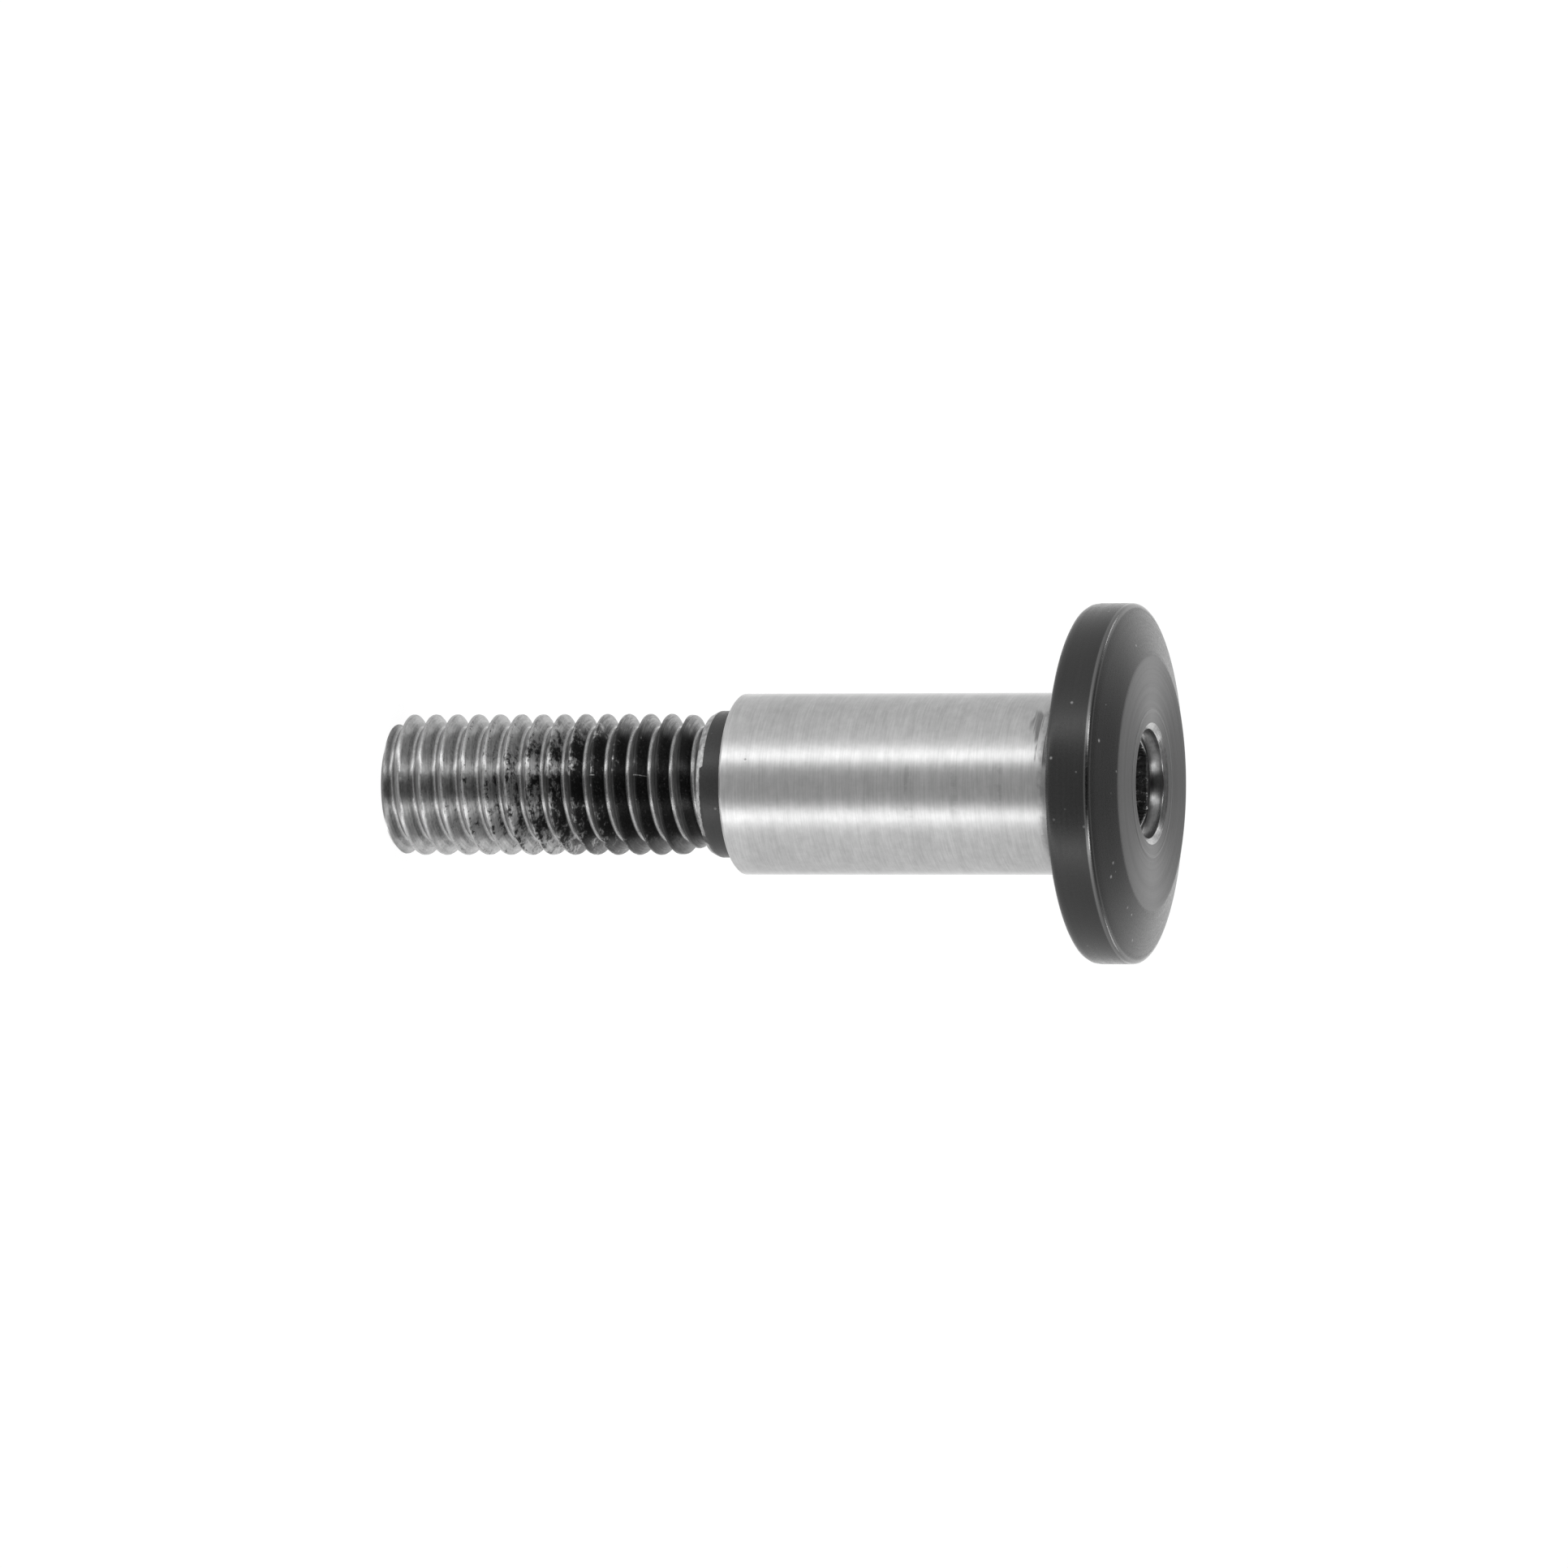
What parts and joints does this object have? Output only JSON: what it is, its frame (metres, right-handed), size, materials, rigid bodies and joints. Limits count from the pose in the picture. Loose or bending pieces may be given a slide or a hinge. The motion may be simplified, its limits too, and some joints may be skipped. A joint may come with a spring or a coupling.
{
  "type": "shoulder bolt",
  "caption": "Shoulder bolt with a wide low bevelled head, a hex socket, a ground cylindrical shoulder and a coarse threaded end.",
  "frame": {"origin": "centre of the flat face at the threaded end, on which the bolt stands", "axes": "+Z along the bolt's axis from the threaded end to the head; two opposite flats of the hex socket face +Y and -Y"},
  "size_m": [0.0198, 0.0198, 0.0434],
  "materials": {
    "steel": "ground bright shoulder, black-oxide head and neck, thread black near the neck and worn bright at the tip"
  },
  "bodies": {
    "root": {"shoulder_bolt": "steel"}
  },
  "joints": []
}
